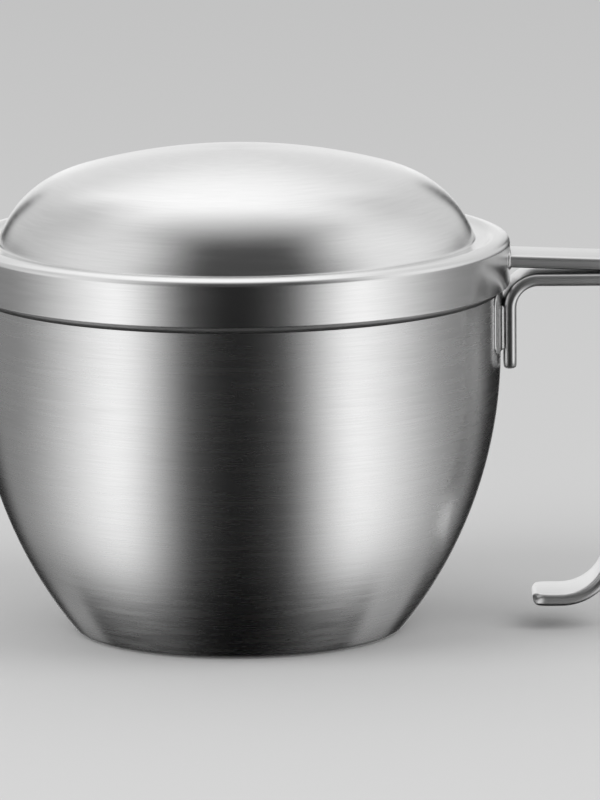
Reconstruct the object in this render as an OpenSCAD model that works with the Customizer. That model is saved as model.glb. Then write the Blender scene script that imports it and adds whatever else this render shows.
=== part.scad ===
// Soup bowl with a lift-off domed lid, in brushed stainless steel.
// The bowl is double-walled: an outer shell and an inner liner, joined at the rim.
// A bent strap handle stands on a curved pad, and the lid's tab lies over it.
// Millimetres, +Z up. The origin is on the bowl's axis, in the plane it stands on.

/* [Bowl] */
// Thickness of the bowl's drawn sheets
sheet_t = 0.8; // [0.6:0.05:1.2]
// Outer diameter of the straight upper side
body_d = 144.8; // [136:0.2:160]
// Height of the bowl's rim
bowl_h = 107.3; // [100:0.1:120]
// Length of the straight side, from the rim down to where the belly starts to curve
side_h = 29.3; // [26:0.1:38]
// Radius of the belly's curve, seen from the side
belly_r = 124; // [115:1:140]
// Radius of the half-round groove rolled into the shell under the lid's skirt
groove_r = 0.9; // [0.5:0.05:1.2]
// Distance from the skirt's lower edge down to the groove
groove_drop = 0.1; // [0.1:0.05:1]
// Radius of the outer shell's bottom edge
foot_r = 4; // [2:0.5:6]
// Width of the flat ring between the bottom edge and the base plate
foot_land = 6; // [4:0.5:10]
// Width of the ledge that carries the base plate
ledge_w = 4; // [3:0.5:6]
// Air gap between the outer shell and the liner
wall_gap = 3.2; // [2:0.1:5]
// Air gap under the liner's floor
floor_gap = 4.8; // [3:0.2:8]
// Radius of the liner's inside corner
liner_corner_r = 14; // [8:1:20]
// Radius of the liner's mouth where it turns out over the rim
mouth_r = 2.8; // [1.8:0.1:3.6]
// Height of the hem that folds down over the shell's edge
hem_h = 4; // [2:0.5:6]
// Radius of the hem's upper edge
hem_r = 1; // [0.4:0.1:1.5]

/* [Lid] */
// Thickness of the lid's sheet
lid_t = 0.8; // [0.6:0.05:1.2]
// Radial clearance between the bowl's hem and the lid's skirt
lid_clear = 1; // [0.5:0.1:2]
// Clearance between the bowl's rim and the lid's flange
seat_clear = 0.3; // [0.3:0.05:0.6]
// Height of the skirt that hangs around the rim
skirt_h = 13.2; // [10:0.1:16]
// Radius of the lid's outer edge
edge_r = 1.6; // [1:0.1:2]
// Radius of the lip's crowned top, inside that edge
lip_r = 8; // [6:0.5:10]
// Depth of the dished flange under the lip
dish_depth = 1; // [0.6:0.1:1.6]
// Width of the slope from the lip down to the flange
dish_w = 2.2; // [1:0.1:2.6]
// Width of the flange, from the lid's edge in to the dome at its widest
flange_w = 8.3; // [7.8:0.1:12]
// Height of the dome over the flange
dome_h = 25; // [20:0.2:30]
// Radius of the dome's crown
crown_r = 165; // [150:5:220]
// Radius of the dome's shoulder
shoulder_r = 28; // [24:0.5:30]
// Radius of the hollow corner between dome and flange
dome_foot_r = 0.8; // [0.6:0.1:2]

/* [Handle] */
// Thickness of the handle strap
handle_t = 3.5; // [2.5:0.1:4.5]
// Width of the handle strap
handle_w = 20; // [14:0.5:24]
// Thickness of the curved pad behind the handle's leg
pad_t = 0.6; // [0.5:0.1:2]
// Width of the pad, across its curve
pad_w = 36; // [28:1:44]
// Height of the pad
pad_h = 17.5; // [14:0.5:18]
// Gap between the pad and the lid's skirt above it
pad_clear = 0.6; // [0.4:0.1:2]
// Length of the leg that runs on below the pad
leg_tail = 5.5; // [0:0.1:8]
// Height of the handle's upper face over the skirt's lower edge
handle_rise = 3.3; // [1.5:0.1:4]
// Inner radius of the bend from the leg to the top run
leg_bend_r = 6; // [4:0.5:8]
// Inner radius of the bend from the top run to the grip
top_bend_r = 12; // [8:1:20]
// Inner radius of the bend from the grip to the hook
hook_bend_r = 12.5; // [8:0.5:16]
// Distance from the bowl's axis to the corner of grip and hook
grip_reach = 100.3; // [95:0.1:112]
// Lean of the grip away from the upright, outwards at the top
grip_lean = 11; // [0:0.5:15]
// Height of the hook's middle plane
hook_z = 8.5; // [6:0.5:20]
// Distance from the bowl's axis to the hook's tip
tip_reach = 80.8; // [76:0.1:84]
// Corner radius at both ends of the strap
strap_corner_r = 4; // [1:0.5:7]

/* [Lid tab] */
// Thickness of the lid's lifting tab
tab_t = 3.5; // [2:0.1:4]
// Width of the tab
tab_w = 17.5; // [12:0.5:22]
// Length of the tab out from the skirt
tab_len = 30; // [20:0.5:34]
// Slope of the tab, downwards to its tip
tab_slope = 2.2; // [0:0.1:4]
// Gap between the tab's tip and the handle under it
tab_gap = 0.45; // [0.3:0.05:1]
// Corner radius at the tab's tip
tab_corner_r = 6; // [2:0.5:8]

/* [Hidden] */
$fn = 96;

// Steps of a long, a middle and a short arc
long_steps = 24;
bend_steps = 12;
edge_steps = 6;
// Overrun of every cut
over = 1;

// Bowl: the belly's arc is centred at belly_cx and belly_z
body_r = body_d / 2;
belly_z = bowl_h - side_h;
belly_cx = body_r - belly_r;
liner_in = sheet_t + wall_gap;
liner_z = sheet_t + floor_gap;
rim_in_r = body_r - liner_in - sheet_t;
hem_out_r = body_r + sheet_t;
shell_top = bowl_h - sheet_t;
hole_r = foot_edge(0, 0, foot_r) - foot_land;
plate_fit = sheet_t / 4;

// Lid
lid_r = hem_out_r + lid_clear + lid_t;
flange_z = bowl_h + seat_clear + lid_t;
lid_z = flange_z + dish_depth;
skirt_z = lid_z - skirt_h;
crown_z = flange_z + dome_h - crown_r;
shoulder_x = lid_r - flange_w - shoulder_r;
shoulder_z = crown_z + sqrt(pow(crown_r - shoulder_r, 2) - pow(shoulder_x, 2));
shoulder_top_a = atan2(shoulder_z - crown_z, shoulder_x);
dome_foot_z = flange_z + dome_foot_r;
shoulder_low_a = asin((dome_foot_z - shoulder_z) / (shoulder_r + dome_foot_r));
dome_foot_x = shoulder_x + (shoulder_r + dome_foot_r) * cos(shoulder_low_a);
// Slope of the lid's outline where the crowned lip passes into the edge
lip_a = 65;
edge_x = lid_r - edge_r;
edge_z = lid_z - lip_r + (lip_r - edge_r) * sin(lip_a);
lip_x = edge_x - (lip_r - edge_r) * cos(lip_a);

// Groove: its middle, and where its inside meets the shell's inner face
groove_z = skirt_z - groove_drop - groove_r;
bulge_r = groove_r + sheet_t;
bulge_a = acos(sheet_t / bulge_r);

// Handle: corners of the strap's middle line, as [distance from the axis, height]
pad_out_r = body_r + pad_t;
pad_top = skirt_z - pad_clear;
leg_x = pad_out_r + handle_t / 2;
leg_foot_z = pad_top - pad_h - leg_tail;
run_top = skirt_z + handle_rise;
run_z = run_top - handle_t / 2;
strap_path = [
    [leg_x, leg_foot_z],
    [leg_x, run_z],
    [grip_reach + (run_z - hook_z) * tan(grip_lean), run_z],
    [grip_reach, hook_z],
    [tip_reach, hook_z]];
strap_bends = [leg_bend_r, top_bend_r, hook_bend_r];
// Depth of the pad's curve across the strap's width
leg_sag = pad_out_r - sqrt(pow(pad_out_r, 2) - pow(handle_w / 2, 2));
tab_root_z = run_top + tab_gap + tab_len * sin(tab_slope);
tab_root_x = sqrt(pow(lid_r, 2) - pow(tab_w / 2, 2));

function arc(cx, cz, r, from, to, steps) =
    [for (i = [0 : steps])
        let (a = from + (to - from) * i / steps)
        [cx + r * cos(a), cz + r * sin(a)]];
function reversed(points) = [for (i = [len(points) - 1 : -1 : 0]) points[i]];

// Angle below the horizontal at which the belly meets the bottom corner of a wall
// that lies inset inside the shell's face, with its floor at floor_z
function corner_a(inset, floor_z, corner) =
    asin((belly_z - floor_z - corner) / (belly_r - inset - corner));
function foot_edge(inset, floor_z, corner) =
    belly_cx + (belly_r - inset - corner) * cos(corner_a(inset, floor_z, corner));
// One face of a wall, from the end of the straight side down to the flat floor
function belly(inset, floor_z, corner) =
    let (a = corner_a(inset, floor_z, corner))
    concat(
        arc(belly_cx, belly_z, belly_r - inset, 0, -a, long_steps),
        arc(foot_edge(inset, floor_z, corner), floor_z + corner, corner,
            -a, -90, bend_steps));

// The lid's upper face from the crown to the lip, or its lower face at depth
function lid_face(depth) =
    concat(
        arc(0, crown_z, crown_r - depth, 90, shoulder_top_a, long_steps),
        arc(shoulder_x, shoulder_z, shoulder_r - depth,
            shoulder_top_a, shoulder_low_a, bend_steps),
        arc(dome_foot_x, dome_foot_z, dome_foot_r + depth,
            180 + shoulder_low_a, 270, edge_steps),
        [[lip_x - dish_w, flange_z - depth]],
        arc(lip_x, lid_z - lip_r, lip_r - depth, 90, lip_a, edge_steps),
        arc(edge_x, edge_z, edge_r - depth, lip_a, 0, edge_steps),
        [[lid_r - depth, skirt_z]]);

function unit(v) = v / norm(v);
function left_of(v) = [-v[1], v[0]];
// Points of a right-hand bend at b, each with the direction to its left
function bend(a, b, c, r) =
    let (
        u = unit(b - a),
        turn = acos(u * unit(c - b)),
        start = b - r * tan(turn / 2) * u,
        centre = start - r * left_of(u),
        first_a = atan2(start[1] - centre[1], start[0] - centre[0]))
    [for (i = [0 : bend_steps])
        let (d = [cos(first_a - turn * i / bend_steps), sin(first_a - turn * i / bend_steps)])
        [centre + r * d, d]];
function strap_line(path, bends) =
    let (last = len(path) - 1)
    concat(
        [[path[0], left_of(unit(path[1] - path[0]))]],
        [for (i = [1 : last - 1])
            each bend(path[i - 1], path[i], path[i + 1], bends[i - 1] + handle_t / 2)],
        [[path[last], left_of(unit(path[last] - path[last - 1]))]]);

module strap_section() {
    line = strap_line(strap_path, strap_bends);
    polygon(concat(
        [for (p = line) p[0] + p[1] * handle_t / 2],
        reversed([for (p = line) p[0] - p[1] * handle_t / 2])));
}

module rounded_rect(w, h, r) {
    square([w - 2 * r, h], center = true);
    square([w, h - 2 * r], center = true);
    for (x = [-1, 1], y = [-1, 1])
        translate([x * (w / 2 - r), y * (h / 2 - r)]) circle(r);
}

// What rounds the two corners of a strap's end that points along +X
module end_cutter(w, r, t) {
    for (side = [-1, 1])
        translate([-r, side * (w / 2 - r), 0])
            difference() {
                translate([0, side > 0 ? 0 : -r - over, -over])
                    cube([r + over, r + over, t + 2 * over]);
                translate([0, 0, -2 * over]) cylinder(r = r, h = t + 4 * over);
            }
}

module outer_shell() color("silver")
    rotate_extrude()
        polygon(concat(
            [[body_r, shell_top]],
            arc(body_r, groove_z, groove_r, 90, 270, bend_steps),
            belly(0, 0, foot_r),
            [[hole_r, 0],
             [hole_r, sheet_t],
             [hole_r - ledge_w, sheet_t],
             [hole_r - ledge_w, 2 * sheet_t],
             [hole_r + sheet_t, 2 * sheet_t],
             [hole_r + 2 * sheet_t, sheet_t]],
            reversed(belly(sheet_t, sheet_t, foot_r - sheet_t)),
            arc(body_r, groove_z, bulge_r, 180 + bulge_a, 180 - bulge_a, bend_steps),
            [[body_r - sheet_t, shell_top]]));

module inner_liner() color("gainsboro")
    rotate_extrude()
        polygon(concat(
            reversed(belly(liner_in + sheet_t, liner_z + sheet_t, liner_corner_r)),
            arc(rim_in_r + mouth_r, bowl_h - mouth_r, mouth_r, 180, 90, bend_steps),
            arc(hem_out_r - hem_r, bowl_h - hem_r, hem_r, 90, 0, edge_steps),
            [[hem_out_r, bowl_h - hem_h],
             [body_r, bowl_h - hem_h],
             [body_r, shell_top]],
            arc(rim_in_r + mouth_r, bowl_h - mouth_r, mouth_r - sheet_t, 90, 180, bend_steps),
            belly(liner_in, liner_z, liner_corner_r + sheet_t),
            [[0, liner_z],
             [0, liner_z + sheet_t]]));

module base_plate() color("darkgray")
    cylinder(r = hole_r - plate_fit, h = sheet_t);

module handle_pad() color("silver")
    intersection() {
        translate([0, 0, pad_top - pad_h])
            difference() {
                cylinder(r = pad_out_r, h = pad_h);
                translate([0, 0, -over]) cylinder(r = body_r, h = pad_h + 2 * over);
            }
        translate([0, 0, pad_top - pad_h / 2]) rotate([90, 0, 90])
            linear_extrude(pad_out_r + over) rounded_rect(pad_w, pad_h, strap_corner_r);
    }

module handle_strap() color("lightgray")
    difference() {
        union() {
            translate([0, handle_w / 2, 0]) rotate([90, 0, 0])
                linear_extrude(handle_w) strap_section();
            translate([pad_out_r - leg_sag, -handle_w / 2, leg_foot_z])
                cube([leg_sag + handle_t / 2, handle_w, pad_h + leg_tail]);
        }
        translate([0, 0, leg_foot_z - over])
            cylinder(r = pad_out_r, h = pad_h + leg_tail + 2 * over);
        translate([leg_x + handle_t / 2, 0, leg_foot_z]) rotate([0, 90, 180])
            end_cutter(handle_w, strap_corner_r, handle_t + leg_sag);
        translate([tip_reach, 0, hook_z + handle_t / 2]) rotate([0, 180, 0])
            end_cutter(handle_w, strap_corner_r, handle_t);
    }

module lid_cover() color("silver")
    rotate_extrude()
        polygon(concat(lid_face(0), reversed(lid_face(lid_t))));

module lid_tab() color("lightgray")
    difference() {
        translate([tab_root_x, 0, tab_root_z]) rotate([0, tab_slope, 0])
            difference() {
                translate([-tab_t, -tab_w / 2, 0])
                    cube([tab_len + lid_r - tab_root_x + tab_t, tab_w, tab_t]);
                translate([tab_len + lid_r - tab_root_x, 0, 0])
                    end_cutter(tab_w, tab_corner_r, tab_t);
            }
        translate([0, 0, skirt_z]) cylinder(r = lid_r, h = skirt_h);
    }

outer_shell();
inner_liner();
base_plate();
handle_pad();
handle_strap();
lid_cover();
lid_tab();
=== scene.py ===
from math import acos, asin, atan2, cos, degrees, pi, radians, sin, sqrt, tan

import bmesh
import bpy
from mathutils import Matrix, Vector


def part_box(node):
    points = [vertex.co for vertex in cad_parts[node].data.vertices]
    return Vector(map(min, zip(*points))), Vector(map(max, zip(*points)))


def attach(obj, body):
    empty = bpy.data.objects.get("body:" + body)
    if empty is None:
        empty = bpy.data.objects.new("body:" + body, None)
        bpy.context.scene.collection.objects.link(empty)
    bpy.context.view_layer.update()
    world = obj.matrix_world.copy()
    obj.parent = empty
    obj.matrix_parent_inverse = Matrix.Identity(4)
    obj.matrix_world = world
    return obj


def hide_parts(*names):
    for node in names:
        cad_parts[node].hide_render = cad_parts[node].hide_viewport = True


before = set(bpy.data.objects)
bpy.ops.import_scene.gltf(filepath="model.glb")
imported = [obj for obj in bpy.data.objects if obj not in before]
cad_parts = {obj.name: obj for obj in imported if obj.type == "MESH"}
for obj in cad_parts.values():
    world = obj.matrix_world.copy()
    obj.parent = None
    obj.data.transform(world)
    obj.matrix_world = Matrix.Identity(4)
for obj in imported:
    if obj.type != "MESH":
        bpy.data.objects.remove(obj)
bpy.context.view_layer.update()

# Lengths are in millimetres up to the studio, +Z up, with the origin on the bowl's axis in
# its base plane.
MM = 0.001


def node_box(node):
    """A node's lowest and highest corners at rest, in millimetres."""
    low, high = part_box(node)
    return [v / MM for v in low], [v / MM for v in high]


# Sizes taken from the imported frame
lid_low, lid_high = node_box("lid_cover")
pad_low, pad_high = node_box("handle_pad")
strap_high = node_box("handle_strap")[1]
plate_high = node_box("base_plate")[1]

# Sizes of the sheet metal, the same as in the part's source
SHEET = 0.8
BODY_R = 72.4
BELLY_R = 124.0
BOWL_H = 107.3
SIDE_H = 29.3
FOOT_R = 4.0
LEDGE_W = 4.0
WALL_GAP = 3.2
FLOOR_GAP = 4.8
LINER_CORNER_R = 14.0
MOUTH_R = 2.8
HEM_H = 4.0
HEM_R = 1.0
GROOVE_R = 0.9
GROOVE_DROP = 0.1
PLATE_FIT = 0.2
PLATE_CHAMFER = 0.15
HOLE_R = plate_high[0] + PLATE_FIT

LID_R = 75.0
EDGE_R = 1.6
LIP_R = 8.0
LIP_TURN = 65
DISH_DEPTH = 1.0
DISH_W = 2.2
FLANGE_W = 8.3
CROWN_R = 165.0
SHOULDER_R = 28.0
DOME_FOOT_R = 0.8
LID_SEAT = 0.3
SKIRT_Z = lid_low[2]
DOME_TOP = lid_high[2]
FLANGE_Z = BOWL_H + LID_SEAT + SHEET
LID_Z = FLANGE_Z + DISH_DEPTH
GROOVE_Z = SKIRT_Z - GROOVE_DROP - GROOVE_R

STRAP_T = 3.5
STRAP_W = 20.0
STRAP_CORNER_R = 4.0
STRAP_EDGE_R = 1.5
LEG_TAIL = 5.5
LEG_BEND_R = 6.0
TOP_BEND_R = 12.0
HOOK_BEND_R = 12.5
GRIP_REACH = 100.3
GRIP_LEAN = radians(11)
HOOK_Z = 8.5
TIP_REACH = 80.8
TAB_T = 3.5
TAB_W = 17.5
TAB_LEN = 30.0
TAB_GAP = 0.45
TAB_CORNER_R = 6.0
TAB_EDGE_R = 1.3
TAB_SLOPE = radians(2.2)
PAD_T = 0.6
PAD_W = 36.0
PAD_H = 17.5
PAD_CORNER_R = 4.0
PAD_EDGE_R = 0.45
LEG_WELD_R = 0.85
TAB_WELD_R = 0.55

# Centre of the arc that draws the belly
BELLY_Z = BOWL_H - SIDE_H
BELLY_CX = BODY_R - BELLY_R

# The beads along the leg: how far they stand out from its corner, how far over the pad's
# foot they start, and how far past the bend's start they end
BEAD_OUT = 0.1
BEAD_FOOT = 0.6
BEAD_PAST = 1

# Fineness of the meshes
LATHE_STEPS = 256
LONG_STEPS = 48
BEND_STEPS = 16
EDGE_STEPS = 8
SIDE_STEPS = 6
SKIRT_STEPS = 4
LINER_FLOOR_STEPS = 4
BASE_STEPS = 8
TUBE_SIDES = 16
BEAD_STEPS = 60
PAD_STRIPS = 36
PAD_EDGE_STEPS = 4
# Distances from a strap's end to its first stations
END_STEPS = [0, 0.03, 0.12, 0.26, 0.45, 0.7, 1, 1.4, 1.9, 2.5, 3.2, 4, 5, 6]
# Stations of the tab from its root, the first just inside the skirt
TAB_STEPS = [-0.17, 5, 10, 15, 20]
# A corner takes at most this share of a section's half side
CORNER_SHARE = 0.98
OUTWARDS = Vector((1, 0, 0))

# Angles from which an edge is drawn sharp, in degrees
SHARP_SHEET = 30
SHARP_STRAP = 40
SHARP_BEAD = 50
NEVER_SHARP = 180

# Lengths too small to matter, in millimetres except the first, which is in metres
MERGE_DIST = 1e-7
ON_AXIS = 1e-6
CUT_DIST = 1e-5
SAME_PLACE = 1e-4


# Camera, at the photograph's viewing angle

CAMERA_AIM = Vector((17.1, 0, 63.33))
CAMERA_FAR = 2500.0
CAMERA_RISE = radians(10.15)
CAMERA_ROLL = radians(-0.42)
# Size of one millimetre at the aim point, in the image's 800 pixels of height
PIXELS = 3.635
IMAGE_H = 800
SENSOR = 36.0
# Nearest and furthest that the camera sees, in metres
CLIP = (0.05, 50)


def add_camera():
    lens = bpy.data.cameras.new("camera")
    lens.sensor_width = SENSOR
    lens.lens = SENSOR * CAMERA_FAR * PIXELS / IMAGE_H
    lens.clip_start, lens.clip_end = CLIP
    camera = bpy.data.objects.new("camera", lens)
    away = Vector((0, -cos(CAMERA_RISE), sin(CAMERA_RISE)))
    place = (CAMERA_AIM + away * CAMERA_FAR) * MM
    tilt = Matrix.Rotation(pi / 2 - CAMERA_RISE, 4, "X")
    roll = Matrix.Rotation(CAMERA_ROLL, 4, "Z")
    camera.matrix_world = Matrix.Translation(place) @ tilt @ roll
    bpy.context.scene.collection.objects.link(camera)
    bpy.context.scene.camera = camera


add_camera()


# Outlines, as points [distance from the axis, height]

def arc(cx, cz, r, start, end, steps):
    turn = [radians(start + (end - start) * i / steps) for i in range(steps + 1)]
    return [(cx + r * cos(a), cz + r * sin(a)) for a in turn]


def line(start, end, steps):
    """The points between start and end, without these two."""
    return [tuple(a + (b - a) * i / steps for a, b in zip(start, end)) for i in range(1, steps)]


def belly(inset, floor_z, corner):
    """One face of a wall, from the end of the straight side down to its flat floor."""
    low = degrees(asin((BELLY_Z - floor_z - corner) / (BELLY_R - inset - corner)))
    foot = BELLY_CX + (BELLY_R - inset - corner) * cos(radians(low))
    return (arc(BELLY_CX, BELLY_Z, BELLY_R - inset, 0, -low, LONG_STEPS)
            + arc(foot, floor_z + corner, corner, -low, -90, BEND_STEPS)[1:])


def shell_outline():
    top = BOWL_H - SHEET
    bulge_r = GROOVE_R + SHEET
    bulge = degrees(acos(SHEET / bulge_r))
    return ([(BODY_R, top)]
            + arc(BODY_R, GROOVE_Z, GROOVE_R, 90, 270, BEND_STEPS)
            + line((BODY_R, GROOVE_Z - GROOVE_R), (BODY_R, BELLY_Z), SIDE_STEPS)
            + belly(0, 0, FOOT_R)
            + [(HOLE_R + PLATE_CHAMFER, 0), (HOLE_R, PLATE_CHAMFER), (HOLE_R, SHEET),
               (HOLE_R - LEDGE_W, SHEET), (HOLE_R - LEDGE_W, 2 * SHEET),
               (HOLE_R + SHEET, 2 * SHEET), (HOLE_R + 2 * SHEET, SHEET)]
            + belly(SHEET, SHEET, FOOT_R - SHEET)[::-1]
            + arc(BODY_R, GROOVE_Z, bulge_r, 180 + bulge, 180 - bulge, BEND_STEPS)
            + [(BODY_R - SHEET, top)])


def liner_outline():
    inset = SHEET + WALL_GAP
    floor_z = SHEET + FLOOR_GAP
    inner_r = BODY_R - inset - SHEET
    hem_out = BODY_R + SHEET
    return (line((0, floor_z + SHEET), (inner_r / 2, floor_z + SHEET), LINER_FLOOR_STEPS)
            + belly(inset + SHEET, floor_z + SHEET, LINER_CORNER_R)[::-1]
            + arc(inner_r + MOUTH_R, BOWL_H - MOUTH_R, MOUTH_R, 180, 90, BEND_STEPS)
            + arc(hem_out - HEM_R, BOWL_H - HEM_R, HEM_R, 90, 0, EDGE_STEPS)
            + arc(hem_out - SHEET / 2, BOWL_H - HEM_H + SHEET / 2, SHEET / 2, 0, -180, EDGE_STEPS)
            + [(BODY_R, BOWL_H - SHEET)]
            + arc(inner_r + MOUTH_R, BOWL_H - MOUTH_R, MOUTH_R - SHEET, 90, 180, BEND_STEPS)
            + belly(inset, floor_z, LINER_CORNER_R + SHEET)
            + [(0, floor_z), (0, floor_z + SHEET)])


def lid_face(depth):
    """The lid's upper face from the crown out to the edge, or its lower face at depth."""
    crown_z = DOME_TOP - CROWN_R
    shoulder_x = LID_R - FLANGE_W - SHOULDER_R
    shoulder_z = crown_z + sqrt((CROWN_R - SHOULDER_R) ** 2 - shoulder_x ** 2)
    top_turn = degrees(atan2(shoulder_z - crown_z, shoulder_x))
    foot_z = FLANGE_Z + DOME_FOOT_R
    low_turn = degrees(asin((foot_z - shoulder_z) / (SHOULDER_R + DOME_FOOT_R)))
    foot_x = shoulder_x + (SHOULDER_R + DOME_FOOT_R) * cos(radians(low_turn))
    edge_x = LID_R - EDGE_R
    lip_x = edge_x - (LIP_R - EDGE_R) * cos(radians(LIP_TURN))
    edge_z = LID_Z - LIP_R + (LIP_R - EDGE_R) * sin(radians(LIP_TURN))
    return (arc(0, crown_z, CROWN_R - depth, 90, top_turn, LONG_STEPS)
            + arc(shoulder_x, shoulder_z, SHOULDER_R - depth, top_turn, low_turn, LONG_STEPS)[1:]
            + arc(foot_x, foot_z, DOME_FOOT_R + depth, 180 + low_turn, 270, EDGE_STEPS)[1:]
            + slope((lip_x - DISH_W, FLANGE_Z - depth), (lip_x, LID_Z - depth))
            + arc(lip_x, LID_Z - LIP_R, LIP_R - depth, 90, LIP_TURN, EDGE_STEPS)[1:]
            + arc(edge_x, edge_z, EDGE_R - depth, LIP_TURN, 0, EDGE_STEPS)[1:])


def slope(start, end):
    """A soft S from one flat to another."""
    rows = []
    for i in range(EDGE_STEPS + 1):
        t = i / EDGE_STEPS
        ease = t * t * (3 - 2 * t)
        rows.append((start[0] + (end[0] - start[0]) * t, start[1] + (end[1] - start[1]) * ease))
    return rows


def lid_outline():
    curl = SHEET / 2
    return (lid_face(0)
            + line((LID_R, LID_Z - 2 * EDGE_R), (LID_R, SKIRT_Z + curl), SKIRT_STEPS)
            + arc(LID_R - curl, SKIRT_Z + curl, curl, 0, -180, EDGE_STEPS)
            + lid_face(SHEET)[::-1])


def plate_outline():
    rim_r = HOLE_R - PLATE_FIT
    low_r = rim_r - PLATE_CHAMFER
    return ([(0, SHEET), (rim_r, SHEET), (rim_r, PLATE_CHAMFER), (low_r, 0)]
            + line((low_r, 0), (0, 0), BASE_STEPS) + [(0, 0)])


# Meshes

def add_object(name, bm, sharp):
    bmesh.ops.remove_doubles(bm, verts=bm.verts, dist=MERGE_DIST)
    bmesh.ops.recalc_face_normals(bm, faces=bm.faces)
    mesh = bpy.data.meshes.new(name)
    bm.to_mesh(mesh)
    bm.free()
    mesh.shade_smooth()
    mesh.set_sharp_from_angle(angle=radians(sharp))
    piece = bpy.data.objects.new(name, mesh)
    bpy.context.scene.collection.objects.link(piece)
    return piece


def lathe(name, outline):
    """Turns a closed outline once round the Z axis."""
    turns = [2 * pi * i / LATHE_STEPS for i in range(LATHE_STEPS)]
    bm = bmesh.new()
    rings = []
    for r, z in outline:
        if r < ON_AXIS:
            rings.append([bm.verts.new((0, 0, z * MM))])
        else:
            rings.append([bm.verts.new((r * cos(a) * MM, r * sin(a) * MM, z * MM))
                          for a in turns])
    for near, far in zip(rings, rings[1:] + rings[:1]):
        if len(near) == 1 and len(far) == 1:
            continue
        for i in range(LATHE_STEPS):
            j = (i + 1) % LATHE_STEPS
            corners = [near[i % len(near)], near[j % len(near)],
                       far[j % len(far)], far[i % len(far)]]
            bm.faces.new(list(dict.fromkeys(corners)))
    return add_object(name, bm, SHARP_SHEET)


def section(half_w, half_t, r):
    """A rounded rectangle, as points [across, through]."""
    r = min(r, half_t * CORNER_SHARE, half_w * CORNER_SHARE)
    points = []
    for sx, sy, start in ((1, 1, 0), (-1, 1, 90), (-1, -1, 180), (1, -1, 270)):
        points += arc(sx * (half_w - r), sy * (half_t - r), r, start, start + 90, EDGE_STEPS)
    return points


def end_cut(d, r):
    """How far a rounded corner of radius r draws in, at distance d from the end."""
    if d >= r:
        return 0
    return r - sqrt(max(0, r * r - (r - d) ** 2))


def strap(name, stations, width, thick, edge_r, start_r, end_r):
    """Sweeps a rounded section along stations [place, out direction].

    The corner radius of each end is start_r and end_r; a start_r of 0 leaves that end cut
    square. The points keep their place in the straight blank, as the attribute grain, and
    the strap's direction there, as the attribute course."""
    lengths = [0]
    for (a, _), (b, _) in zip(stations, stations[1:]):
        lengths.append(lengths[-1] + (b - a).length)
    total = lengths[-1]
    bm = bmesh.new()
    grain = bm.verts.layers.float_vector.new("grain")
    course = bm.verts.layers.float_vector.new("course")
    rings = []
    for (place, out), at in zip(stations, lengths):
        narrow = end_cut(total - at, end_r) + (end_cut(at, start_r) if start_r else 0)
        soft = end_cut(total - at, edge_r) + (end_cut(at, edge_r) if start_r else 0)
        half_w = width / 2 - narrow - soft
        half_t = thick / 2 - soft
        ring = []
        for across, through in section(half_w, half_t, edge_r - soft * 0.5):
            vert = bm.verts.new((place + out * through + Vector((0, across, 0))) * MM)
            vert[grain] = Vector((across, through, at)) * MM
            vert[course] = Vector((out.z, 0, -out.x))
            ring.append(vert)
        rings.append(ring)
    count = len(rings[0])
    for near, far in zip(rings, rings[1:]):
        for i in range(count):
            j = (i + 1) % count
            bm.faces.new((near[i], near[j], far[j], far[i]))
    bm.faces.new(rings[0])
    bm.faces.new(rings[-1])
    return add_object(name, bm, SHARP_STRAP)


def unit(v):
    return v / v.length


def bend_line(corners, radii):
    """Stations [place, out direction] along right-hand bends, from points [x, z]."""
    points = [Vector((x, 0, z)) for x, z in corners]
    stations = []
    ahead = unit(points[1] - points[0])
    out = Vector((-ahead.z, 0, ahead.x))
    for d in END_STEPS:
        stations.append((points[0] + ahead * d, out))
    for before, corner, after, r in zip(points, points[1:], points[2:], radii):
        ahead = unit(corner - before)
        turn = ahead.angle(unit(after - corner))
        out = Vector((-ahead.z, 0, ahead.x))
        centre = corner - ahead * r * tan(turn / 2) - out * r
        for i in range(BEND_STEPS + 1):
            spin = Matrix.Rotation(turn * i / BEND_STEPS, 3, "Y")
            stations.append((centre + (spin @ out) * r, spin @ out))
    ahead = unit(points[-1] - points[-2])
    out = Vector((-ahead.z, 0, ahead.x))
    for d in reversed(END_STEPS):
        stations.append((points[-1] - ahead * d, out))
    return stations


def tube(name, path, r_at, closed=False):
    """A round bead along path, with the radius r_at(i) at each of its points."""
    bm = bmesh.new()
    rings = []
    last = len(path) - 1
    for i, place in enumerate(path):
        before = path[i - 1] if closed or i else place
        after = path[(i + 1) % len(path)] if closed or i < last else place
        ahead = unit(after - before)
        side = unit(ahead.cross(OUTWARDS.cross(ahead)))
        up = ahead.cross(side)
        rings.append([bm.verts.new((place + (side * cos(a) + up * sin(a)) * r_at(i)) * MM)
                      for a in (2 * pi * k / TUBE_SIDES for k in range(TUBE_SIDES))])
    pairs = list(zip(rings, rings[1:] + (rings[:1] if closed else [])))
    for near, far in pairs:
        for k in range(TUBE_SIDES):
            j = (k + 1) % TUBE_SIDES
            bm.faces.new((near[k], near[j], far[j], far[k]))
    if not closed:
        bm.faces.new(rings[0])
        bm.faces.new(rings[-1])
    return add_object(name, bm, SHARP_BEAD)


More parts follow.
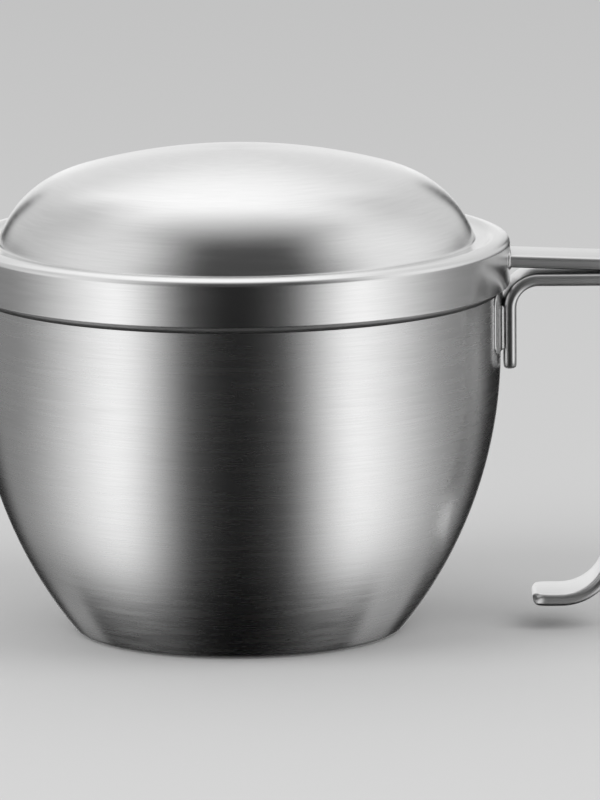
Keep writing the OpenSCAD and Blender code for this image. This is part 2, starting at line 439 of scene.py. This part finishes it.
def curved_pad(name):
    """A flat rounded plate with softened edges, bent round the bowl's side."""
    bm = bmesh.new()
    grain = bm.verts.layers.float_vector.new("grain")
    middle = (pad_low[2] + pad_high[2]) / 2
    border = [bm.verts.new((0, y, z))
              for y, z in section(PAD_W / 2, PAD_H / 2, PAD_CORNER_R)]
    back = bm.faces.new(border)
    front = bmesh.ops.extrude_face_region(bm, geom=[back])["geom"]
    raised = [v for v in front if isinstance(v, bmesh.types.BMVert)]
    bmesh.ops.translate(bm, verts=raised, vec=(PAD_T, 0, 0))
    rim = [e for e in bm.edges if all(v.co.x > PAD_T / 2 for v in e.verts)]
    bmesh.ops.bevel(bm, geom=rim, offset=PAD_EDGE_R, segments=PAD_EDGE_STEPS, profile=0.5,
                    affect="EDGES")
    for k in range(1, PAD_STRIPS):
        cut = -PAD_W / 2 + PAD_W * k / PAD_STRIPS
        bmesh.ops.bisect_plane(bm, geom=bm.verts[:] + bm.edges[:] + bm.faces[:],
                               dist=CUT_DIST, plane_co=(0, cut, 0), plane_no=(0, 1, 0))
    for vert in bm.verts:
        vert[grain] = vert.co * MM
        x = sqrt((BODY_R + vert.co.x) ** 2 - vert.co.y ** 2)
        vert.co = Vector((x, vert.co.y, vert.co.z + middle)) * MM
    return add_object(name, bm, SHARP_STRAP)


# Node graphs

class Graph:
    """Short calls for building a node tree."""

    def __init__(self, tree):
        self.tree = tree

    def add(self, kind, inputs=None, **settings):
        node = self.tree.nodes.new(kind)
        for name, value in settings.items():
            setattr(node, name, value)
        for key, value in (inputs or {}).items():
            if isinstance(value, bpy.types.NodeSocket):
                self.tree.links.new(value, node.inputs[key])
            else:
                node.inputs[key].default_value = value
        return node

    def math(self, operation, a, b=0.0):
        return self.add("ShaderNodeMath", {0: a, 1: b}, operation=operation).outputs[0]

    def plus(self, a, b):
        return self.math("ADD", a, b)

    def minus(self, a, b):
        return self.math("SUBTRACT", a, b)

    def times(self, a, b):
        return self.math("MULTIPLY", a, b)

    def larger(self, a, b):
        return self.math("MAXIMUM", a, b)

    def absolute(self, a):
        return self.math("ABSOLUTE", a)

    def vector(self, operation, a, b=(0, 0, 0)):
        return self.add("ShaderNodeVectorMath", {0: a, 1: b}, operation=operation).outputs[0]

    def parts(self, vector):
        return list(self.add("ShaderNodeSeparateXYZ", {0: vector}).outputs)

    def blend(self, share, first, second):
        return self.add("ShaderNodeMix", {0: share, 2: first, 3: second}).outputs[0]

    def spread(self, value, low, high, to_low=0.0, to_high=1.0, kind="LINEAR"):
        """Takes low..high to to_low..to_high, and stays level beyond both ends."""
        inputs = {"Value": value, "From Min": low, "From Max": high,
                  "To Min": to_low, "To Max": to_high}
        return self.add("ShaderNodeMapRange", inputs, interpolation_type=kind).outputs[0]

    def ease(self, value, low, high, to_low=0.0, to_high=1.0):
        """The same, with a soft start and a soft end."""
        return self.spread(value, low, high, to_low, to_high, "SMOOTHSTEP")

    def window(self, value, low, high, soft):
        """1 between low and high, with soft ends."""
        up = self.ease(value, low - soft, low + soft)
        return self.times(up, self.ease(value, high - soft, high + soft, 1.0, 0.0))

    def turn_ease(self, angle, low, high, to_low=0.0, to_high=1.0):
        """ease() for an angle, with its limits in degrees."""
        return self.ease(angle, radians(low), radians(high), to_low, to_high)

    def turn_window(self, angle, low, high, soft):
        """window() for an angle, with its limits in degrees."""
        return self.window(angle, radians(low), radians(high), radians(soft))

    def noise(self, vector):
        inputs = {"Vector": vector, "Scale": 1.0, "Detail": NOISE_DETAIL,
                  "Roughness": NOISE_ROUGHNESS}
        return self.add("ShaderNodeTexNoise", inputs).outputs[0]


# Brushed steel

NOISE_DETAIL = 2.0
NOISE_ROUGHNESS = 0.55
# The part of the noise's range that is drawn
NOISE_RANGE = (0.3, 0.7)
# Noise cells to the metre across the brushing
FINE_LINES = 2600
BROAD_LINES = 520
# Noise cells along the brushing, to the radius on turned pieces and to the metre on a strap
FINE_AROUND = 5
BROAD_AROUND = 3
FINE_ALONG = 60
BROAD_ALONG = 20
# Shares of the fine and the broad lines in the colour
FINE_SHARE = 0.65
BROAD_SHARE = 0.35
# Least and most roughness, as shares of a steel's own
ROUGH_RANGE = (0.93, 1.07)
BUMP_STRENGTH = 0.6
QUARTER_TURN = 0.25


def turned_lines(graph, outwards, around, lines):
    """Coordinates whose noise is drawn out round the Z axis, with lines to the metre."""
    place = graph.add("ShaderNodeTexCoord").outputs["Object"]
    x, y, z = graph.parts(place)
    flat = graph.add("ShaderNodeCombineXYZ", {0: x, 1: y}).outputs[0]
    length = graph.add("ShaderNodeVectorMath", {0: flat}, operation="LENGTH").outputs["Value"]
    turned = graph.vector("MULTIPLY", graph.vector("NORMALIZE", flat), (around, around, 0))
    run = graph.times(graph.plus(graph.times(length, outwards), z), lines)
    return graph.vector("ADD", turned, graph.add("ShaderNodeCombineXYZ", {2: run}).outputs[0])


def drawn_lines(graph, along, lines):
    """Coordinates whose noise is drawn out along a strap."""
    grain = graph.add("ShaderNodeAttribute", attribute_name="grain").outputs["Vector"]
    return graph.vector("MULTIPLY", grain, (lines, lines, along))


def steel(name, tone, roughness, streak, relief, stretch=0.0, outwards=None):
    """Brushed steel, turned round the Z axis where outwards is given, else along a strap.

    outwards is 1 where z falls towards the axis and -1 where it rises, so that the lines
    keep their distance on slopes. streak is the swing of the colour, relief the depth of
    the lines in millimetres, and stretch draws the highlights out across the lines."""
    material = bpy.data.materials.new(name)
    material.use_nodes = True
    graph = Graph(material.node_tree)
    link = graph.tree.links.new
    shader = graph.tree.nodes["Principled BSDF"].inputs
    shader["Metallic"].default_value = 1.0
    if outwards is None:
        fine = graph.noise(drawn_lines(graph, FINE_ALONG, FINE_LINES))
        broad = graph.noise(drawn_lines(graph, BROAD_ALONG, BROAD_LINES))
        if stretch:
            course = graph.add("ShaderNodeAttribute", attribute_name="course")
            link(course.outputs["Vector"], shader["Tangent"])
            shader["Anisotropic"].default_value = stretch
    else:
        fine = graph.noise(turned_lines(graph, outwards, FINE_AROUND, FINE_LINES))
        broad = graph.noise(turned_lines(graph, outwards, BROAD_AROUND, BROAD_LINES))
        tangent = graph.add("ShaderNodeTangent", direction_type="RADIAL", axis="Z")
        link(tangent.outputs[0], shader["Tangent"])
        shader["Anisotropic"].default_value = stretch
        shader["Anisotropic Rotation"].default_value = QUARTER_TURN
    lines = graph.plus(graph.times(fine, FINE_SHARE), graph.times(broad, BROAD_SHARE))
    shade = graph.spread(lines, *NOISE_RANGE, tone * (1 - streak), tone * (1 + streak))
    colour = graph.add("ShaderNodeCombineColor", {0: shade, 1: shade, 2: shade})
    link(colour.outputs[0], shader["Base Color"])
    rough = graph.spread(broad, *NOISE_RANGE, *(roughness * share for share in ROUGH_RANGE))
    link(rough, shader["Roughness"])
    bump = graph.add("ShaderNodeBump", {"Strength": BUMP_STRENGTH, "Distance": relief * MM,
                                        "Height": fine})
    link(bump.outputs[0], shader["Normal"])
    return material


shell_steel = steel("shell_brushed", tone=0.80, roughness=0.27, streak=0.05, relief=0.004,
                    stretch=0.7, outwards=1)
lid_steel = steel("lid_brushed", tone=0.82, roughness=0.24, streak=0.04, relief=0.003,
                  stretch=0.6, outwards=-1)
liner_steel = steel("liner_satin", tone=0.78, roughness=0.30, streak=0.04, relief=0.003,
                    stretch=0.5, outwards=1)
base_steel = steel("base_satin", tone=0.74, roughness=0.34, streak=0.05, relief=0.003,
                   stretch=0.5, outwards=1)
strap_steel = steel("strap_polished", tone=0.75, roughness=0.32, streak=0.06, relief=0.002,
                    stretch=0.8)
pad_steel = steel("pad_polished", tone=0.74, roughness=0.27, streak=0.06, relief=0.002)
weld_steel = steel("weld_bead", tone=0.72, roughness=0.26, streak=0.06, relief=0.002)
# Painted shade: a dark, rough steel for the tab's underside, standing in for the shadow in the
# seam
tab_shade_paint = steel("tab_underside_painted_shade", tone=0.22, roughness=0.55, streak=0.10, relief=0.002)
# Painted shade: a dark, rough steel for the groove under the skirt, where the shadow of the
# skirt's edge falls
groove_shade_paint = steel("groove_painted_shade", tone=0.36, roughness=0.50, streak=0.20, relief=0.002,
                     outwards=1)


# Pieces

# Reach of the groove's painted shade past its depth, in millimetres
GROOVE_MARGIN = 0.1
# A face whose normal falls below this looks straight down
DOWNWARD = -0.9
# Ripple of the leg's bead: its level, its swing and how fast it runs
RIPPLE = (0.94, 0.06, 1.7)
# The bead's thickness at its ends, and what each step from them adds
BEAD_END = (0.45, 0.2)


def dress(piece, material, body, slot, *nodes):
    piece.data.materials.append(material)
    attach(piece, body)
    if nodes:
        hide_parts(*nodes)


def add_second(piece, material, is_second):
    """Gives a second material to the faces that is_second picks."""
    piece.data.materials.append(material)
    for face in piece.data.polygons:
        if is_second(face):
            face.material_index = 1


def in_groove(face):
    r = face.center.to_2d().length / MM
    return (abs(face.center.z / MM - GROOVE_Z) < GROOVE_R
            and BODY_R - GROOVE_R - GROOVE_MARGIN < r < BODY_R)


def leg_bead_r(i):
    """Radius of the leg's bead: a slight ripple, thinner towards both ends."""
    level, swing, pace = RIPPLE
    end, growth = BEAD_END
    from_end = min(i, BEAD_STEPS - i)
    return LEG_WELD_R * (level + swing * cos(i * pace)) * min(1, end + growth * from_end)


shell = lathe("brushed_shell", shell_outline())
dress(shell, shell_steel, "bowl", "shell_brushed", "outer_shell")
# The groove's faces get the painted shade of the dark groove steel
add_second(shell, groove_shade_paint, in_groove)
dress(lathe("satin_liner", liner_outline()), liner_steel, "bowl", "liner_satin", "inner_liner")
dress(lathe("base_disc", plate_outline()), base_steel, "bowl", "base_satin", "base_plate")
dress(curved_pad("leg_pad"), pad_steel, "bowl", "strap_polished", "handle_pad")

pad_r = BODY_R + PAD_T
leg_x = pad_r + STRAP_T / 2
leg_foot_z = pad_low[2] - LEG_TAIL
run_z = strap_high[2] - STRAP_T / 2
strap_line = bend_line(
    [(leg_x, leg_foot_z), (leg_x, run_z),
     (GRIP_REACH + (run_z - HOOK_Z) * tan(GRIP_LEAN), run_z),
     (GRIP_REACH, HOOK_Z), (TIP_REACH, HOOK_Z)],
    [r + STRAP_T / 2 for r in (LEG_BEND_R, TOP_BEND_R, HOOK_BEND_R)])
dress(strap("bent_strap", strap_line, STRAP_W, STRAP_T, STRAP_EDGE_R,
            STRAP_CORNER_R, STRAP_CORNER_R),
      strap_steel, "bowl", "strap_polished", "handle_strap")

# A weld bead along each side of the leg
bead_low = pad_low[2] + BEAD_FOOT
bead_high = run_z - LEG_BEND_R - STRAP_T / 2 + BEAD_PAST
bead_zs = [bead_low + (bead_high - bead_low) * i / BEAD_STEPS for i in range(BEAD_STEPS + 1)]
for side, name in ((-1, "leg_weld_front"), (1, "leg_weld_back")):
    bead_y = side * (STRAP_W / 2 + BEAD_OUT)
    bead_x = sqrt(pad_r ** 2 - bead_y ** 2) + BEAD_OUT
    dress(tube(name, [Vector((bead_x, bead_y, z)) for z in bead_zs], leg_bead_r),
          weld_steel, "bowl", "strap_polished")

dress(lathe("lid_sheet", lid_outline()), lid_steel, "lid", "lid_brushed", "lid_cover")

# The lid's tab, from just inside the skirt's outer face
tab_root_x = sqrt(LID_R ** 2 - (TAB_W / 2) ** 2)
tab_root_z = strap_high[2] + TAB_GAP + TAB_LEN * sin(TAB_SLOPE)
tab_ahead = Vector((cos(TAB_SLOPE), 0, -sin(TAB_SLOPE)))
tab_out = Vector((sin(TAB_SLOPE), 0, cos(TAB_SLOPE)))
tab_root = Vector((tab_root_x, 0, tab_root_z)) + tab_out * TAB_T / 2
tab_end = TAB_LEN + LID_R - tab_root_x
tab_steps = TAB_STEPS + [tab_end - d for d in reversed(END_STEPS)]
tab = strap("tab", [(tab_root + tab_ahead * d, tab_out) for d in tab_steps],
            TAB_W, TAB_T, TAB_EDGE_R, 0, TAB_CORNER_R)
dress(tab, strap_steel, "lid", "strap_polished", "lid_tab")
# Its underside is painted with shade: a dark, rough steel that darkens the seam over the handle's
# run
add_second(tab, tab_shade_paint, lambda face: face.normal.z < DOWNWARD)

# The bead round the tab's root, on the skirt's outer face
tab_joint = []
for across, through in section(TAB_W / 2, TAB_T / 2, TAB_EDGE_R):
    x = sqrt(LID_R ** 2 - across ** 2)
    z = tab_root_z + TAB_T / 2 - (x - tab_root_x) * tan(TAB_SLOPE) + through
    tab_joint.append(Vector((x, across, z)))
tab_joint = [p for p, q in zip(tab_joint, tab_joint[1:] + tab_joint[:1])
             if (p - q).length > SAME_PLACE]
dress(tube("tab_weld", tab_joint, lambda i: TAB_WELD_R, closed=True),
      weld_steel, "lid", "strap_polished")


# Studio, in metres: a pale floor, and a tent of soft light that only reflections see. The
# tent is fixed in the room. In its light a turn goes round the Z axis, from 0 at the side
# that the photograph was taken from to 180 behind, and a height goes up from the horizon.
# Both are in degrees. A step is (from, to, level before, level after), and a window is
# (from, to, softness of both ends).

TENT_R = 0.9
TENT_Z = 0.06
TENT_LEVEL = 1.3
TENT_FINENESS = 4

# Over the horizon. This part of the light is turned to the right by the first number.
ABOVE_TURNED = 6.5
FRONT_LIGHT = 0.05
SIDE_TURN = (20, 72)
SIDE_LIGHT = (-0.7, 0.7, 0.64, 0.70)
SIDE_DIP = (84, 130, 0.0, -0.17)
BACK_LIGHT = (140, 174, 0.0, 0.43)
BACK_RAISED = (27, 43, 0.26, 1.0)
OVERHEAD_HEIGHT = (45, 70)
OVERHEAD_LIGHT = (-0.50, 0.36, 0.03, 0.93)
OVERHEAD_SKEW = 0.2

# Under the horizon, measured by the normal of the surface that shows it to the camera:
# across is sideways, down is how far it faces down
BOX_RISE = (0.148, 0.463)
BOX_FALL = (0.383, 0.858, 0.86, 0.13)
BOX_HAZE = (0.03, 0.20, 0.010, 0.055)
BOX_FADE = (0.35, 0.51, 1.0, 0.0)
BOX_END = (0.885, 0.955, 1.0, 0.06)
# On upright walls the boxes are drawn in by this much
UPRIGHT_SCALE = (0.0, 0.10, 1.045, 1.0)
FOOT_LIGHT = (0.70, 0.85, 0.0, 0.07)
# Small patches of light: windows across, windows down, light
PATCHES = (((0.62, 0.84, 0.03), (0.47, 0.62, 0.02), 0.27),
           ((-0.89, -0.75, 0.03), (0.50, 0.62, 0.02), 0.28))

# The heights between which the light under the horizon gives way to that over it
HORIZON = (6, 16)
# Low behind: a bright strip, a bright rim over it, and on both sides of them a dark gap
# that draws the lines along the dome's shoulders. Rim and gap are turned a little too.
STRIP_LIGHT = (165, 171, 0.0, 0.72)
STRIP_HEIGHT = (-40, -15)
BEHIND_TURNED = 2.5
RIM_LIGHT = (162, 166, 0.0, 0.72)
RIM_HEIGHT = (-8, -4)
GAP_TURN = (154, 162, 3)
GAP_HEIGHT = (-12, 18, 5)
GAP_LIGHT = 0.08
# Round the gap the upper light starts lower by this much
LIFT_TURN = (138, 168, 5)
LIFT = 4


def tent_above(graph, ahead, turn, height):
    """Light over the horizon: darker in front, wide at both sides, brightest behind, and
    overhead an even ramp from the front to the back."""
    x, y = graph.parts(ahead)[:2]
    turn = graph.absolute(graph.minus(turn, radians(ABOVE_TURNED)))
    side = graph.turn_ease(turn, *SIDE_TURN, FRONT_LIGHT, graph.spread(x, *SIDE_LIGHT))
    dip = graph.turn_ease(turn, *SIDE_DIP)
    back = graph.turn_ease(turn, *BACK_LIGHT)
    back = graph.times(back, graph.turn_ease(height, *BACK_RAISED))
    light = graph.plus(graph.plus(side, dip), back)
    behind = graph.minus(y, graph.times(graph.larger(x, 0.0), OVERHEAD_SKEW))
    overhead = graph.spread(behind, *OVERHEAD_LIGHT)
    return graph.blend(graph.turn_ease(height, *OVERHEAD_HEIGHT), light, overhead)


def tent_below(graph, ahead):
    """Light under the horizon: two tall soft boxes, painted so that their reflections stand
    upright on the straight side and on the belly, and fade towards the floor."""
    eye = (0, -cos(CAMERA_RISE), sin(CAMERA_RISE))
    facing = graph.parts(graph.vector("NORMALIZE", graph.vector("ADD", ahead, eye)))
    down = graph.larger(graph.times(facing[2], -1.0), 0.0)
    level = graph.math("SQRT", graph.minus(1.0, graph.times(down, down)))
    across = graph.math("DIVIDE", facing[0], level)
    curve = BELLY_R / BODY_R
    width = graph.plus(graph.times(level, curve), 1 - curve)
    width = graph.times(width, graph.ease(down, *UPRIGHT_SCALE))
    out = graph.absolute(graph.times(across, width))
    boxes = graph.times(graph.ease(out, *BOX_RISE), graph.ease(out, *BOX_FALL))
    light = graph.plus(boxes, graph.ease(out, *BOX_HAZE))
    light = graph.times(light, graph.ease(down, *BOX_FADE))
    light = graph.times(light, graph.ease(graph.absolute(across), *BOX_END))
    for wide, tall, glow in PATCHES:
        patch = graph.times(graph.window(across, *wide), graph.window(down, *tall))
        light = graph.plus(light, graph.times(patch, glow))
    return graph.plus(light, graph.ease(down, *FOOT_LIGHT))


def tent_light(graph, ahead):
    """Light that comes from the direction ahead, as seen from the middle of the tent."""
    x, y, z = graph.parts(ahead)
    turn = graph.math("ARCTAN2", x, graph.times(y, -1.0))
    height = graph.math("ARCSINE", z)
    behind = graph.absolute(graph.minus(turn, radians(BEHIND_TURNED)))
    strip = graph.times(graph.turn_ease(graph.absolute(turn), *STRIP_LIGHT),
                        graph.turn_ease(height, *STRIP_HEIGHT))
    rim = graph.times(graph.turn_ease(behind, *RIM_LIGHT),
                      graph.turn_ease(height, *RIM_HEIGHT))
    below = graph.larger(tent_below(graph, ahead), graph.larger(strip, rim))
    lift = graph.times(graph.turn_window(behind, *LIFT_TURN), radians(LIFT))
    rise = graph.turn_ease(graph.plus(height, lift), *HORIZON)
    light = graph.blend(rise, below, tent_above(graph, ahead, turn, height))
    gap = graph.times(graph.turn_window(behind, *GAP_TURN),
                      graph.turn_window(height, *GAP_HEIGHT))
    light = graph.times(light, graph.spread(gap, 0.0, 1.0, 1.0, GAP_LIGHT))
    return graph.times(light, TENT_LEVEL)


def light_tent():
    bm = bmesh.new()
    bmesh.ops.create_icosphere(bm, subdivisions=TENT_FINENESS, radius=TENT_R)
    tent = add_object("light_tent", bm, NEVER_SHARP)
    tent.location = (0, 0, TENT_Z)
    for ray in ("camera", "diffuse", "transmission", "volume_scatter", "shadow"):
        setattr(tent, "visible_" + ray, False)
    material = bpy.data.materials.new("tent_light")
    material.use_nodes = True
    material.cycles.emission_sampling = "NONE"
    graph = Graph(material.node_tree)
    graph.tree.nodes.clear()
    ahead = graph.vector("NORMALIZE", graph.add("ShaderNodeTexCoord").outputs["Object"])
    glow = graph.add("ShaderNodeEmission", {"Color": (1, 1, 1, 1),
                                            "Strength": tent_light(graph, ahead)})
    graph.add("ShaderNodeOutputMaterial", {"Surface": glow.outputs[0]})
    tent.data.materials.append(material)


FLOOR_TONE = 0.58
FLOOR_ROUGHNESS = 0.8
FLOOR_R = 14
FLOOR_SIDES = 96
ROOM_LIGHT = 0.80
SOFTBOX_SIZE = 1.4
SOFTBOX_AIM = Vector((0, 0, 0.05))


def pale_floor():
    bm = bmesh.new()
    bmesh.ops.create_circle(bm, cap_ends=True, segments=FLOOR_SIDES, radius=FLOOR_R)
    floor = add_object("floor", bm, SHARP_SHEET)
    floor.visible_glossy = False
    pale = bpy.data.materials.new("pale_floor")
    pale.use_nodes = True
    shader = pale.node_tree.nodes["Principled BSDF"].inputs
    shader["Base Color"].default_value = (FLOOR_TONE, FLOOR_TONE, FLOOR_TONE, 1)
    shader["Roughness"].default_value = FLOOR_ROUGHNESS
    shader["Specular IOR Level"].default_value = 0.0
    floor.data.materials.append(pale)


def softbox(name, place, watts):
    lamp = bpy.data.lights.new(name, "AREA")
    lamp.shape = "DISK"
    lamp.size = SOFTBOX_SIZE
    lamp.energy = watts
    light = bpy.data.objects.new(name, lamp)
    light.location = place
    aim = SOFTBOX_AIM - Vector(place)
    light.rotation_euler = aim.to_track_quat("-Z", "Y").to_euler()
    light.visible_glossy = False
    light.visible_camera = False
    bpy.context.scene.collection.objects.link(light)


def room_light():
    """Plain light from all round. Where the room itself is seen, directly or in a
    reflection, it has the shade of the floor's far end."""
    world = bpy.data.worlds.new("studio")
    world.use_nodes = True
    graph = Graph(world.node_tree)
    ray = graph.add("ShaderNodeLightPath").outputs
    seen = graph.larger(ray["Is Glossy Ray"], ray["Is Transmission Ray"])
    seen = graph.larger(seen, ray["Is Camera Ray"])
    room = graph.blend(seen, ROOM_LIGHT, FLOOR_TONE * ROOM_LIGHT)
    graph.tree.links.new(room, graph.tree.nodes["Background"].inputs["Color"])
    world.cycles.sampling_method = "NONE"
    bpy.context.scene.world = world


light_tent()
pale_floor()
softbox("soft_left", (-1.3, -0.9, 1.5), 14)
softbox("soft_right", (1.2, -0.7, 1.6), 10)
room_light()
bpy.context.scene.view_settings.view_transform = "Standard"
